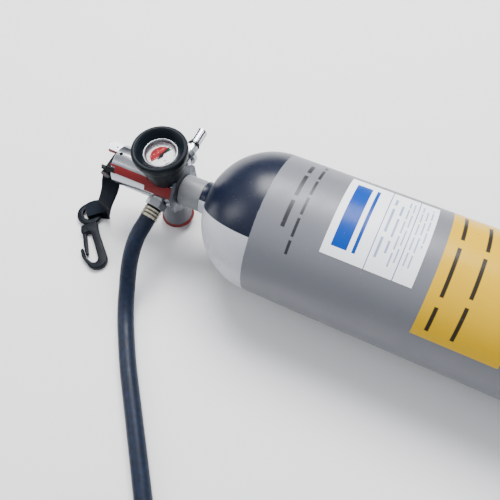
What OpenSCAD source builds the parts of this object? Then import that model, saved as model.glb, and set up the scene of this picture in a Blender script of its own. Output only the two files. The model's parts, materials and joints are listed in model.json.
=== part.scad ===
// Emergency-escape breathing-air pack, lying on its side: a steel air cylinder,
// a pressure reducer with gauge, filling port and shut-off handwheel, a breathing
// hose, and a pull-to-start fork on a webbing lanyard with a snap hook.
// Origin: on the cylinder's axis, at the middle of its straight wall.
// +X runs towards the cylinder's foot, +Y towards the filling port, +Z up along the gauge.

/* [Cylinder] */
// Outside radius of the air cylinder
cyl_r = 58; // [57:0.5:60]
// Wall thickness of the air cylinder
cyl_wall = 3.2; // [2.5:0.1:4]
// Length of the straight wall
straight_len = 250; // [220:5:320]
// Height of the domed shoulder
dome_len = 57; // [54:0.5:58]
// Height of the foot end below the straight wall
foot_len = 49; // [44:1:52]
// Radius of the ring that the cylinder stands on
foot_r = 38; // [34:1:42]
// Radius of the cylinder's neck
neck_r = 14; // [13:0.5:15]

/* [Reducer] */
// Outside radius of the reducer barrel
barrel_r = 17.25; // [17:0.05:17.5]
// Length of the barrel from the valve axis to its open end
barrel_len = 48; // [47:0.5:50]
// Bore radius of the spring chamber
chamber_r = 14; // [13.8:0.05:14.1]
// Distance across the flats of the eight-sided valve flange
flange_af = 40; // [38:0.5:41]
// Radius of the grey neck ring
neck_ring_r = 13.4; // [12.5:0.1:14]
// Travel of the release fork
fork_travel = 12; // [8:1:14]

/* [Gauge] */
// Outside radius of the rubber boot
boot_r = 22.7; // [21.5:0.1:23.5]
// Height of the top of the gauge's bezel above the cylinder's axis
bezel_z = 43; // [42.8:0.1:43.4]
// Radius of the gauge case
case_r = 16.4; // [16:0.1:16.6]
// Direction of the pointer, counted from +X
pointer_deg = 80; // [0:1:240]

/* [Filling port] */
// Radius of the filling nipple
nipple_r = 4; // [3.8:0.05:4.1]
// Radius of the screw cap
cap_r = 4.7; // [4.6:0.05:5]

/* [Handwheel] */
// Radius of the handwheel's red rim
wheel_r = 15; // [14:0.5:16]
// Height of the wheel's rim edge below the cylinder's axis
wheel_z = 51.5; // [50:0.5:54]
// Radius of the spindle
spindle_r = 2.95; // [2.9:0.01:2.95]

/* [Hose] */
// Outside diameter of the hose
hose_d = 14; // [12:0.5:14.5]
// Angle by which the outlet points below the level
outlet_dip = 15; // [12:1:16]
// Angle by which the outlet leans towards the barrel's open end
outlet_lean = 6; // [4:1:8]
// Radius of the stored coil, to the middle of the hose
coil_r = 75; // [74:0.5:76]

/* [Lanyard] */
// Width of the webbing
strap_w = 16; // [14:0.5:16]
// Thickness of the doubled webbing
strap_t = 2.6; // [2:0.1:2.8]
// Thickness of the snap hook
hook_t = 5.4; // [4.8:0.1:5.6]

/* [Hidden] */
$fn = 96;

floor_z = -cyl_r;
shoulder_x = 96;                            // start of the straight wall, from the valve axis
valve_x = -(shoulder_x + straight_len / 2); // the valve axis in the part's frame
foot_x = shoulder_x + straight_len;
neck_x = 35;                                // mouth of the cylinder's neck
shank_r = 8.9;
gas_bore_r = 1.5;
flange_x = [12.3, 15];
block_x = -12;                              // left face of the barrel's solid block
spigot_r = 6.4;
hose_r = hose_d / 2;
ferrule_s = [26, 35];                       // along the outlet axis, from the valve axis
pin_x = -53;                                // cross pin of the release fork
pin_z = 3.5;
pin_r = 2;
hook_at = [-73.9, -41.7];                   // origin of the hook's own outline
hook_turn = -42.8;                          // direction of the hook's long axis
eye_at = [-8.5, 3];                         // middle of the hook's eye, in the hook's outline
eye_r = [6, 12];
eye_z = floor_z + 1.7;                      // underside of the eye, clear of the webbing
coil_at = [82, -330];
coil_start = 37.7;                          // direction of the coil's first point
coil_sweep = 420;
plug_dir = coil_start - coil_sweep;

// Route of the hose from the ferrule to the coil, from the valve axis
hose_route = [
    [-3.5, -33.6, -9.1], [-4.2, -40.3, -10.9], [-5, -47, -12.9], [-5.4, -53.3, -15.7],
    [-5.2, -59.5, -19.1], [-4.8, -65.5, -23.4], [-4.3, -71, -28.4], [-3.6, -76.3, -33.7],
    [-2.4, -81.8, -38.5],
    [-0.5, -87.5, -42.4], [1.5, -93.3, -45.5], [4, -99.3, -47.9], [7, -105.3, -49.6],
    [10.4, -111.2, -50.6], [14, -117, -51], [22, -128.8, -51], [30, -140.2, -51],
    [38, -151, -51], [46, -161.3, -51], [54, -171.5, -51], [66, -187, -51],
    [82, -207.6, -51], [98, -228.3, -51], [114, -248.9, -51], [130, -269.5, -51],
    [141.3, -284.1, -51]
];

// Stations of the webbing from the pin to the hook's eye: its middle from the valve axis,
// the direction of its width, and its width as its two layers fan out
strap_stations = [
    [[-56.8, -4.5, 1], 90, 16], [[-57, -8.5, -7], 70, 16], [[-56.4, -12, -12], 46, 16],
    [[-54.9, -15.4, -17], 22, 16],
    [[-57, -21, -26], -6, 16.5], [[-59.8, -25.6, -34.5], -14, 17.5], [[-62.5, -25.7, -42], -24, 19],
    [[-66.7, -26.8, -47.2], -34, 20.5], [[-72.1, -29.7, -49.6], -42, 22], [[-77.4, -34.2, -50.3], -48, 22]
];

// ---------- helpers ----------
function unit(v) = v / norm(v);
function tangent(p, i) =
    unit(p[min(i + 1, len(p) - 1)] - p[max(i - 1, 0)]);

// Triangles that join rings of n points each, and one flat face at each end
function tube_faces(rings, n) = concat(
    [[for (j = [0:n - 1]) j]],
    [for (i = [0:rings - 2], j = [0:n - 1])
        [i * n + j, (i + 1) * n + (j + 1) % n, i * n + (j + 1) % n]],
    [for (i = [0:rings - 2], j = [0:n - 1])
        [i * n + j, (i + 1) * n + j, (i + 1) * n + (j + 1) % n]],
    [[for (j = [0:n - 1]) rings * n - 1 - j]]);

// Round tube of radius r along the points p
module sweep_round(p, r, n) {
    points = [for (i = [0:len(p) - 1])
        let (t = tangent(p, i),
             a = unit(cross(t, abs(t.z) > 0.9 ? [1, 0, 0] : [0, 0, 1])),
             b = cross(t, a))
        for (j = [0:n - 1]) p[i] + r * (cos(360 * j / n) * a + sin(360 * j / n) * b)];
    polyhedron(points, tube_faces(len(p), n), convexity = 8);
}

// Flat strap of thickness t through stations of [middle, level direction of its width, width]
module sweep_flat(stations, t) {
    p = [for (s = stations) s[0]];
    points = [for (i = [0:len(p) - 1])
        let (a = [cos(stations[i][1]), sin(stations[i][1]), 0],
             w = stations[i][2],
             b = unit(cross(tangent(p, i), a)))
        for (k = [[-1, -1], [1, -1], [1, 1], [-1, 1]]) p[i] + k[0] * w / 2 * a + k[1] * t / 2 * b];
    polyhedron(points, tube_faces(len(p), 4), convexity = 8);
}

// Coil spring along +Z from 0 to h, its coils at radius r, of wire radius w
module coil_spring(h, r, w, turns) {
    steps = turns * 14;
    path = [for (i = [0:steps])
        [r * cos(360 * i / 14), r * sin(360 * i / 14), w + (h - 2 * w) * i / steps]];
    sweep_round(path, w, 6);
}

module at_valve() translate([valve_x, 0, 0]) children();
module at_gauge() translate([valve_x, 0, bezel_z]) children();
module along_x() rotate([0, 90, 0]) children();
module along_y() rotate([-90, 0, 0]) children();
module at_outlet() rotate(-outlet_lean) rotate([90 + outlet_dip, 0, 0]) children();
module at_hook() translate([hook_at.x, hook_at.y, 0]) rotate(hook_turn) children();
module at_plug()
    translate([coil_at.x + coil_r * cos(plug_dir), coil_at.y + coil_r * sin(plug_dir), floor_z + 3 * hose_r])
        rotate([0, 0, plug_dir]) rotate([90, 0, 0]) children();

// Cylinder and ring from height a to height b
module rod(a, b, r) translate([0, 0, a]) cylinder(h = b - a, r = r);
module ring(a, b, ro, ri) difference() {
    rod(a, b, ro);
    rod(a - 1, b + 1, ri);
}
module o_ring(z, r, w) translate([0, 0, z]) rotate_extrude() translate([r, 0]) circle(r = w, $fn = 24);

// Shell sector about the X axis; angles count from +Y towards +Z
module sector_x(x1, x2, ri, ro, a1, a2)
    along_x() rotate(a1 + 90) rotate_extrude(angle = a2 - a1)
        translate([ri, x1]) square([ro - ri, x2 - x1]);

// ---------- cylinder ----------
module cylinder_shell() {
    in_r = cyl_r - cyl_wall;
    in_dome = dome_len - cyl_wall;
    dish = 18;
    dome_out = [for (a = [15:5:90]) [cyl_r * sin(a), shoulder_x - dome_len * cos(a)]];
    foot_out = [for (a = [0:6:90]) [foot_r + (cyl_r - foot_r) * cos(a), foot_x + foot_len * sin(a)]];
    dish_out = [for (r = [foot_r - 4:-5:0]) [r, foot_x + foot_len - dish * (1 - pow(r / (foot_r - 4), 2))]];
    dish_in = [for (r = [0:5:foot_r - 6])
        [r, foot_x + foot_len - 5 - dish * (1 - pow(r / (foot_r - 5), 2))]];
    foot_in = [for (a = [90:-6:0])
        [foot_r - 5 + (in_r - foot_r + 5) * cos(a), foot_x + (foot_len - 5) * sin(a)]];
    dome_in = [for (a = [90:-5:12]) [in_r * sin(a), shoulder_x - in_dome * cos(a)]];
    color([0.6, 0.61, 0.62]) at_valve() along_x() rotate_extrude()
        polygon(concat(
            [[11.6, neck_x], [neck_r - 0.6, neck_x], [neck_r, neck_x + 0.6], [neck_r, neck_x + 4]],
            dome_out, foot_out, dish_out, [[0, foot_x + foot_len - dish]],
            dish_in, foot_in, dome_in,
            [[shank_r + 0.1, shoulder_x - in_dome * cos(12)], [shank_r + 0.1, neck_x + 2.3], [11.6, neck_x + 2.3]]));
}

module neck_ring() color([0.58, 0.59, 0.61]) at_valve() along_x() rotate_extrude()
    polygon([[shank_r + 0.1, flange_x[1]], [neck_ring_r - 0.6, flange_x[1]], [neck_ring_r, flange_x[1] + 0.6],
             [neck_ring_r, neck_x - 0.6], [neck_ring_r - 0.6, neck_x], [shank_r + 0.1, neck_x]]);

module neck_seal() color([0.1, 0.1, 0.1]) at_valve() along_x() o_ring(neck_x + 1.15, 10.25, 1.1);

module valve_flange() color([0.42, 0.43, 0.46]) at_valve() along_x() difference() {
    union() {
        rotate(22.5) translate([0, 0, flange_x[0]])
            cylinder(h = flange_x[1] - flange_x[0], r = flange_af / 2 / cos(22.5), $fn = 8);
        rod(3, flange_x[0] + 1, spigot_r);
        rod(flange_x[1] - 1, 60, shank_r);
    }
    rod(2, 61, gas_bore_r);
    rod(52, 61, 4);
}

module inlet_filter() color([0.7, 0.6, 0.35]) at_valve() along_x() difference() {
    union() {
        rod(53, 60, 3.95);
        rod(60, 68, 5);
    }
    rod(52, 66, 2.4);
}

// ---------- reducer ----------
module reducer_barrel() color([0.8, 0.81, 0.82]) at_valve() difference() {
    union() {
        along_x() rotate_extrude()
            polygon([[0, -barrel_len], [barrel_r - 0.8, -barrel_len], [barrel_r, -barrel_len + 0.8],
                     [barrel_r, flange_x[0]], [0, flange_x[0]]]);
        rod(13, 18, 8.4);
        along_y() rod(14, 21.5, 9);
        at_outlet() rod(13, 18.3, 8.2);
        mirror([0, 0, 1]) rod(13, 18.2, 9.4);
    }
    along_x() rod(-barrel_len - 1, block_x, chamber_r);
    along_x() rod(block_x - 1, 3, gas_bore_r);
    along_x() rod(2.8, flange_x[0] + 1, spigot_r + 0.1);
    rod(8, 19, 5);
    rod(0, 9, gas_bore_r);
    along_y() rod(8.5, 22, 5);
    along_y() rod(0, 9, gas_bore_r);
    at_outlet() rod(9, 19, 5.1);
    translate([0, -10, -2.7]) along_x() rod(block_x - 1, 1, gas_bore_r);
    mirror([0, 0, 1]) rod(7, 15, 4);
    mirror([0, 0, 1]) rod(14, 19, 7.1);
    mirror([0, 0, 1]) rod(0, 8, 1.8);
    translate([-barrel_len + 4.6, 0, chamber_r - 1]) rod(0, 6, 1.5);
}

module barrel_cap() color([0.55, 0.56, 0.58]) at_valve() difference() {
    along_x() rod(-46.6, -43.6, chamber_r - 0.1);
    translate([-48, 3.6, 5.4]) cube([6, 8.2, 2.9]);
    for (s = [-1, 1]) translate([-48, s * 6, -5]) along_x() rod(0, 3, 1.5);
}

module reducer_piston() color([0.75, 0.65, 0.4]) at_valve() along_x() difference() {
    union() {
        rod(-35.4, -29, chamber_r - 0.07);
        rod(-30, -13.4, 3.5);
    }
    ring(-33, -31, chamber_r + 1, 12.2);
    rod(-14.9, -12, 2.5);
}

module piston_seal() color([0.1, 0.1, 0.1]) at_valve() along_x() o_ring(-32, 13.1, 0.84);

module reducer_spring() color([0.7, 0.71, 0.73]) at_valve()
    translate([-28.9, 0, 0]) along_x() coil_spring(16.8, 6.6, 1.1, 4);

module seat_insert() color([0.92, 0.9, 0.84]) at_valve() along_x() rod(-14.8, -12.3, 2.45);

// ---------- gauge ----------
module gauge_stem() color([0.72, 0.6, 0.32]) at_valve() difference() {
    union() {
        rod(9, 19, 4.9);
        translate([0, 0, 18.9]) cylinder(h = 4, r = 7, $fn = 6);
        rod(22, 27, 4.4);
        translate([-3.5, -3.5, 27]) cube([7, 7, 3.4]);
    }
    rod(8, 28.5, 1.2);
}

module gauge_washer() color([0.75, 0.45, 0.3]) at_valve() ring(18, 18.9, 7.5, 5.1);

module gauge_case() color([0.3, 0.31, 0.33]) at_gauge() difference() {
    rod(-18.5, -2.6, case_r);
    rod(-17.3, -1, case_r - 1.4);
    rod(-20, -16, 4.5);
}

module bourdon_tube() color([0.78, 0.66, 0.36]) at_gauge()
    translate([0, 0, -14.3]) rotate(-55) {
        rotate_extrude(angle = 250) translate([11, 0]) square([1.4, 4.2], center = true);
        translate([5.1, -1.4, -1.2]) cube([6.1, 2.4, 2.4]);
    }

module gauge_movement() color([0.74, 0.66, 0.42]) at_gauge() {
    difference() {
        translate([-6.5, -4.5, -12.5]) cube([13, 9, 2.4]);
        rod(-13.5, -9.5, 0.7);
    }
    for (side = [-1, 1]) translate([5 * side, 0, 0]) rod(-11, -5.3, 0.9);
}

module gauge_dial() color([0.95, 0.95, 0.95]) at_gauge() ring(-5.3, -4.8, case_r - 1.5, 0.8);

module gauge_pointer() color([0.08, 0.08, 0.09]) at_gauge() rotate(pointer_deg) union() {
    rod(-12.3, -4.2, 0.55);
    rod(-4.7, -3.7, 1.7);
    translate([0, 0, -4.6]) linear_extrude(height = 0.5)
        polygon([[-4, -0.7], [0, -0.9], [9.8, -0.25], [9.8, 0.25], [0, 0.9], [-4, 0.7]]);
}

module gauge_lens() color([0.85, 0.9, 0.95, 0.35]) at_gauge() rod(-3.6, -2.6, case_r - 1.5);

module gauge_bezel() color([0.83, 0.83, 0.84]) at_gauge() rotate_extrude()
    polygon([[11.5, -2.6], [case_r, -2.6], [case_r, -0.5], [13.8, -0.5], [13.3, 0], [12.7, -0.2], [11.5, -2]]);

module gauge_boot() {
    rim = [[20.3, -3.2], [21.5, -2.2], [22.3, -0.8], [boot_r, 1], [boot_r, 3], [22.4, 4.4], [21.7, 5.2],
           [20.7, 5.6], [19.5, 5.5], [18.1, 4.6], [16.4, 2.8], [14.9, 0.9], [14.1, -0.1], [13.9, -0.4]];
    color([0.09, 0.1, 0.12]) at_valve() difference() {
        rotate_extrude()
            polygon(concat([[8.6, 13], [14.2, 13], [19.5, 34]], [for (p = rim) p + [0, bezel_z]],
                           [[case_r + 0.05, bezel_z - 0.4], [case_r + 0.05, bezel_z - 18.6],
                            [8.6, bezel_z - 18.6]]));
        along_x() rod(-barrel_len - 10, 30, barrel_r + 0.1);
        sector_x(-30, 30, barrel_r - 1, barrel_r + 2.6, 118, 170);
        along_x() rotate(22.5) translate([0, 0, flange_x[0] - 0.2]) cylinder(h = 20, r = flange_af / 2 / cos(22.5) + 0.3, $fn = 8);
        along_y() rod(12, 30, 9.3);
    }
}

// ---------- filling port ----------
module fill_connector() color([0.8, 0.81, 0.82]) at_valve() along_y() difference() {
    union() {
        rod(9.5, 21.5, 4.9);
        rod(21.5, 29, 6.4);
        rotate_extrude() polygon([[0, 29], [8.6, 29], [9.2, 29.6], [9.2, 33.4], [8.6, 34], [0, 34]]);
        translate([0, 0, 34]) cylinder(h = 7, r = 5.6, $fn = 6);
        rod(40, 45, 4.6);
        rod(44, 57, nipple_r);
    }
    rod(8, 21, gas_bore_r);
    rod(20.5, 33, 3);
    rod(32, 58, 1.8);
    ring(43, 44.8, 6, 3.9);
}

module fill_poppet() color([0.75, 0.65, 0.4]) at_valve() along_y() union() {
    rod(29.4, 31.4, 2.9);
    rod(31, 36, 1.1);
}

module fill_spring() color([0.7, 0.71, 0.73]) at_valve() along_y()
    translate([0, 0, 20.7]) coil_spring(8.6, 2.2, 0.4, 5);

module fill_seal() color([0.1, 0.1, 0.1]) at_valve() along_y() o_ring(43.9, 4.75, 0.8);

module fill_cap() color([0.86, 0.86, 0.87]) at_valve() along_y() difference() {
    rotate_extrude() polygon([[0, 46], [cap_r, 46], [cap_r, 60.2], [cap_r - 0.8, 61], [0, 61]]);
    rod(45, 58, nipple_r + 0.05);
    for (a = [0:30:330]) rotate(a) translate([cap_r + 0.35, 0, 0]) rod(47, 59, 0.55, $fn = 16);
}

// ---------- shut-off ----------
module bonnet() color([0.7, 0.71, 0.73]) at_valve() mirror([0, 0, 1]) difference() {
    union() {
        rod(14.1, 18.3, 7);
        rod(18.2, 24.2, 9.2);
    }
    rod(13, 18, 4);
    rod(17, 25, spindle_r + 0.05);
    rod(20, 22.2, 4.8);
}

module seat_plunger() color([0.75, 0.65, 0.4]) at_valve() mirror([0, 0, 1]) difference() {
    union() {
        rod(8.2, 15.4, 3.93);
        rod(5, 9, 1.7);
    }
    rod(9.4, 16, 1.6);
}

module spindle() color([0.7, 0.71, 0.73]) at_valve() mirror([0, 0, 1]) union() {
    rod(11.2, 17.3, 1.5);
    rod(17, 17.9, 3.9);
    rod(17.5, 43.5, spindle_r);
}

module spindle_seal() color([0.1, 0.1, 0.1]) at_valve() mirror([0, 0, 1]) o_ring(21.1, 3.9, 0.85);

module handwheel() color([0.55, 0.56, 0.58]) at_valve() mirror([0, 0, 1]) difference() {
    rotate_extrude() polygon([[0, 25], [8, 25], [8.8, 26.5], [wheel_r - 2.1, wheel_z - 5], [wheel_r - 1.9, wheel_z - 3.6],
                              [wheel_r - 1.9, wheel_z - 2.8], [11.2, wheel_z - 2.8], [10.8, wheel_z - 8],
                              [6, wheel_z - 12], [6, wheel_z - 5], [0, wheel_z - 5]]);
    rod(24, 43.6, spindle_r);
    rod(43, 60, 1.6);
    for (a = [0:30:330]) rotate(a) translate([wheel_r - 0.4, 0, 0]) rod(38, wheel_z - 5, 1.8, $fn = 16);
}

module handwheel_ring() color([0.6, 0.14, 0.16]) at_valve() mirror([0, 0, 1]) rotate_extrude()
    polygon([[11.2, wheel_z - 2.8], [wheel_r - 1.9, wheel_z - 2.8], [wheel_r, wheel_z - 0.9],
             [wheel_r - 0.6, wheel_z], [11.8, wheel_z], [11.2, wheel_z - 0.5]]);

module handwheel_screw() color([0.7, 0.71, 0.73]) at_valve() mirror([0, 0, 1]) difference() {
    union() {
        rod(43.6, wheel_z - 4.5, 1.5);
        rod(wheel_z - 5, wheel_z - 2.6, 3.4);
    }
    translate([-0.4, -4, wheel_z - 3.6]) cube([0.8, 8, 2]);
}

// ---------- hose ----------
module hose_nut() color([0.75, 0.76, 0.78]) at_valve() at_outlet() difference() {
    intersection() {
        rotate(48) translate([0, 0, 18.4]) cylinder(h = 6.2, r = 9.24, $fn = 6);
        rotate_extrude() polygon([[0, 18.4], [8.2, 18.4], [9.4, 19.2], [9.4, 23.6], [8, 24.6], [0, 24.6]]);
    }
    rod(16, 26, 5.1);
}

module hose_insert() color([0.7, 0.71, 0.73]) at_valve() at_outlet() difference() {
    union() {
        rod(10.5, 25, 5);
        rod(24.6, ferrule_s[0], 6.9);
        rod(ferrule_s[0] - 0.5, ferrule_s[1] - 0.1, 4.3);
    }
    rod(9, ferrule_s[1] + 1, 2.5);
}

module crimped_ferrule(a, b, ro, ri) difference() {
    rotate_extrude() polygon(concat(
        [[ri, a], [ro - 0.6, a], [ro, a + 0.6]],
        [for (k = [0:floor((b - a - 0.5) / 3) - 1]) let (z = a + 2 + k * 3) each [[ro, z], [ro - 0.6, z + 0.5], [ro - 0.6, z + 1], [ro, z + 1.5]]],
        [[ro, b - 0.4], [ro - 0.4, b], [ri, b]]));
    rod(a - 1, b + 1, ri);
}

module hose_ferrule() color([0.8, 0.79, 0.74]) at_valve() at_outlet()
    crimped_ferrule(ferrule_s[0], ferrule_s[1], 7.6, 4.4);

module hose() color([0.09, 0.11, 0.18]) at_valve() sweep_round(hose_route, hose_r, 12);

module coil_sector(z, a1, a2) translate([0, 0, z]) rotate(a1) rotate_extrude(angle = a2 - a1)
    translate([coil_r - hose_r + 0.2, 0]) square([hose_d - 0.4, hose_d]);

module hose_coil() color([0.09, 0.11, 0.18]) at_valve() translate([coil_at.x, coil_at.y, 0]) union() {
    ring(floor_z, floor_z + hose_d, coil_r + hose_r, coil_r - hose_r);
    coil_sector(floor_z + hose_d - 0.5, plug_dir, coil_start - 300);
}

module end_ferrule() color([0.8, 0.79, 0.74]) at_valve() at_plug()
    crimped_ferrule(0, 14, hose_r, 4.4);

module end_plug() color([0.8, 0.81, 0.82]) at_valve() at_plug() difference() {
    union() {
        rod(0.1, 15, 4.3);
        translate([0, 0, 14]) cylinder(h = 8, r = 7, $fn = 6);
        rod(21, 30, 5.5);
        rod(29, 33, 4.6);
        rod(32.6, 37, 5);
    }
    rod(-1, 38, 2.2);
}

module end_seal() color([0.1, 0.1, 0.1]) at_valve() at_plug() o_ring(31.3, 4.8, 0.62);

// ---------- release ----------
module release_front_arm() color([0.62, 0.13, 0.14]) at_valve() difference() {
    union() {
        sector_x(-43, -12, barrel_r + 0.3, barrel_r + 1.6, 125.3, 146.6);
        sector_x(-13, 12, barrel_r + 0.25, barrel_r + 2, 129.3, 160.4);
        sector_x(-48, -42, barrel_r + 0.35, barrel_r + 1.5, 125.8, 130.5);
        sector_x(-56, -42, barrel_r + 0.4, barrel_r + 1.3, 137, 149);
        translate([pin_x, 0, pin_z]) rotate([90, 0, 0]) rod(13.2, 15, 4);
        translate([pin_x - 1.8, -14.9, pin_z + 3]) cube([3.6, 1.6, 6.4]);
    }
    translate([pin_x, 0, pin_z]) rotate([90, 0, 0]) rod(12, 18, pin_r + 0.05);
}

module release_back_arm() color([0.62, 0.13, 0.14]) at_valve() difference() {
    union() {
        translate([-62, 4, 5.8]) cube([26.3, 7.2, 2.1]);
        translate([pin_x - 3.2, 5, 0.6]) cube([4.2, 4, 5.4]);
    }
    translate([pin_x, 0, pin_z]) rotate([-90, 0, 0]) rod(3, 12, pin_r + 0.05);
    translate([-49.3, 0, 0]) cube([2, 3, 4]);
}

module release_tongue() color([0.78, 0.79, 0.8]) at_valve() difference() {
    union() {
        translate([-58.9, 4.8, 7.9]) cube([10.3, 8.6, 1.4]);
        translate([-58.9, 9.1, 0]) rod(7.9, 9.3, 4.3);
    }
    translate([-55, 9.1, 0]) rod(7, 10, 0.8);
}

module release_pin() color([0.08, 0.08, 0.09]) at_valve() translate([pin_x, 0, pin_z]) rotate([90, 0, 0]) union() {
    rod(-10, 15.3, pin_r);
    rod(15.1, 17.2, 4.2);
}

// ---------- lanyard ----------
// Loop of webbing, gathered to fit, through the eye and round its upper side
module eye_loop() at_hook() translate([eye_at.x, 10.3, floor_z + 3.9]) rotate([0, 90, 0])
    translate([0, 0, -4.9]) linear_extrude(height = 9.8) difference() {
        loop_outline(3.7);
        loop_outline(2.4);
    }
module loop_outline(r) union() {
    square([2 * r, 10.6], center = true);
    for (s = [-1, 1]) translate([0, s * 5.3]) circle(r = r, $fn = 32);
}

module lanyard_strap() color([0.08, 0.09, 0.13]) at_valve() union() {
    translate([pin_x, 0, pin_z]) rotate([90, 0, 0]) ring(-3.6, strap_w - 3.6, pin_r + 2.7, pin_r + 0.1);
    sweep_flat(strap_stations, strap_t);
    eye_loop();
}

hook_nose = [[44, -12.4], [35, -14.8], [27, -14.6], [25.4, -13.6], [25.4, -11.6], [35.5, -11.9]];
module snap_hook() color([0.07, 0.08, 0.12]) at_valve() at_hook() difference() {
    union() {
        translate([0, 0, eye_z]) linear_extrude(height = floor_z + hook_t - eye_z)
            translate(eye_at) circle(r = eye_r[1], $fn = 64);
        translate([0, 0, floor_z]) linear_extrude(height = hook_t) difference() {
            union() {
                polygon([[2, -8.4], [2, 7.6], [12, 6.2], [40, 6.9], [44, 6.5], [44, -10], [12, -10], [8, -8.6]]);
                translate([41, -2.8]) circle(r = 9.6, $fn = 64);
                polygon(hook_nose);
            }
            polygon([[10.5, -3], [12.3, -0.9], [40.4, -1.2], [42.8, -2.4], [44, -5], [42.6, -7.8], [39, -9.8],
                     [35.5, -11.9], [20, -30], [8.6, -10.5], [8.5, -6.6]]);
        }
        translate([0, 0, floor_z]) linear_extrude(height = hook_t) polygon(hook_nose);
    }
    translate([eye_at.x, eye_at.y, 0]) rod(floor_z - 1, 0, eye_r[0]);
    translate([8.5, -6.6, 0]) rod(floor_z - 1, 0, 2.85);
}

module hook_gate() color([0.09, 0.1, 0.15]) at_valve() at_hook() translate([0, 0, floor_z + 0.6]) union() {
    translate([8.5, -6.6, 0]) rod(0, hook_t - 1.2, 2.55);
    linear_extrude(height = hook_t - 1.2)
        polygon([[8.5, -4.9], [12, -4.9], [33, -8.5], [33.4, -11.1], [25, -10.9], [12, -9.2], [8.5, -8.6]]);
}

// ---------- labels ----------
module label(x1, x2, a1, a2) sector_x(x1, x2, cyl_r + 0.02, cyl_r + 0.15, a1, a2);
module white_label() color([0.95, 0.95, 0.97]) label(-74.5, -8.5, 49.5, 123.2);
module yellow_label() color([0.95, 0.78, 0.35]) label(2, 62, 40, 153.5);

cylinder_shell();
neck_ring();
neck_seal();
valve_flange();
inlet_filter();
reducer_barrel();
barrel_cap();
reducer_piston();
piston_seal();
reducer_spring();
seat_insert();
gauge_stem();
gauge_washer();
gauge_case();
bourdon_tube();
gauge_movement();
gauge_dial();
gauge_pointer();
gauge_lens();
gauge_bezel();
gauge_boot();
fill_connector();
fill_poppet();
fill_spring();
fill_seal();
fill_cap();
bonnet();
seat_plunger();
spindle();
spindle_seal();
handwheel();
handwheel_ring();
handwheel_screw();
hose_nut();
hose_insert();
hose_ferrule();
hose();
hose_coil();
end_ferrule();
end_plug();
end_seal();
release_front_arm();
release_back_arm();
release_tongue();
release_pin();
lanyard_strap();
snap_hook();
hook_gate();
white_label();
yellow_label();
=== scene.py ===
"""Looks of the breathing-air pack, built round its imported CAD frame.

Sizes and places are in millimetres from the axis of the valve, and at() turns them into Blender's metres.
Values that go into shaders, and those of the camera and the lights, are in metres.
"""
import json
import math

import bmesh
import bpy
from mathutils import Matrix, Vector


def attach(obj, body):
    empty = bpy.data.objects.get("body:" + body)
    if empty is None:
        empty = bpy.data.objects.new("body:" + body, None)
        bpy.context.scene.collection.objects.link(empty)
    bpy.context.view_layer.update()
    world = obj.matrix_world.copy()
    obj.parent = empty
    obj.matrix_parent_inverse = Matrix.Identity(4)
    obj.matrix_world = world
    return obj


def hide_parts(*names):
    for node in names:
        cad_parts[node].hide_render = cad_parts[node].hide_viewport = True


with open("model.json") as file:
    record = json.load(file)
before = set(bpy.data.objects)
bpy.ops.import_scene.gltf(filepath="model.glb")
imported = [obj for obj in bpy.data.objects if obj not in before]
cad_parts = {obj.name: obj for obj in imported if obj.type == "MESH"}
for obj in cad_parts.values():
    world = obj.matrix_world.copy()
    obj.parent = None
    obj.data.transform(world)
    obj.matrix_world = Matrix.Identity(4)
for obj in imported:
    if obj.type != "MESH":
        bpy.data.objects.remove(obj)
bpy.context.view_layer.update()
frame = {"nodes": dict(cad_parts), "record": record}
MM = 0.001
VALVE_X = -221.0
FLOOR_Z = -58.0
CYLINDER_R = 58.0
HOSE_R = 7.0


def at(x, y, z):
    """A point given in millimetres from the valve's axis, in Blender's metres."""
    return Vector(((VALVE_X + x) * MM, y * MM, z * MM))


# ---------- camera ----------
CAMERA_AT = (-0.03347, -0.20122, 0.38710)
CAMERA_TURN = (26.986, 1.936, 25.645)


def make_camera():
    """The camera as it was fitted to the photograph."""
    data = bpy.data.cameras.new("camera")
    data.lens = 39.33
    data.sensor_width = 36.0
    data.clip_start = 0.01
    data.clip_end = 20
    cam = bpy.data.objects.new("camera", data)
    cam.location = CAMERA_AT
    cam.rotation_euler = [math.radians(a) for a in CAMERA_TURN]
    bpy.context.scene.collection.objects.link(cam)
    bpy.context.scene.camera = cam


make_camera()


# ---------- mesh helpers ----------
def link(name, mesh, body, replaced=(), smooth_deg=35):
    """Puts a mesh in the scene as a piece that rides on a body."""
    obj = bpy.data.objects.new(name, mesh)
    bpy.context.scene.collection.objects.link(obj)
    smooth(mesh, smooth_deg)
    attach(obj, body)
    if replaced:
        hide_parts(*replaced)
    return obj


def smooth(mesh, sharp_deg):
    """Smooth shading, with edges sharper than an angle kept."""
    mesh.polygons.foreach_set("use_smooth", [True] * len(mesh.polygons))
    mesh.set_sharp_from_angle(angle=math.radians(sharp_deg))


def point_outwards(mesh):
    """Turns the faces of a closed mesh so that all of them look outwards."""
    tidy = bmesh.new()
    tidy.from_mesh(mesh)
    bmesh.ops.recalc_face_normals(tidy, faces=tidy.faces)
    tidy.to_mesh(mesh)
    tidy.free()


def mesh_of(name, verts, faces):
    """A mesh with its faces turned outwards."""
    mesh = bpy.data.meshes.new(name)
    mesh.from_pydata([tuple(v) for v in verts], [], faces)
    mesh.validate()
    point_outwards(mesh)
    return mesh


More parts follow.
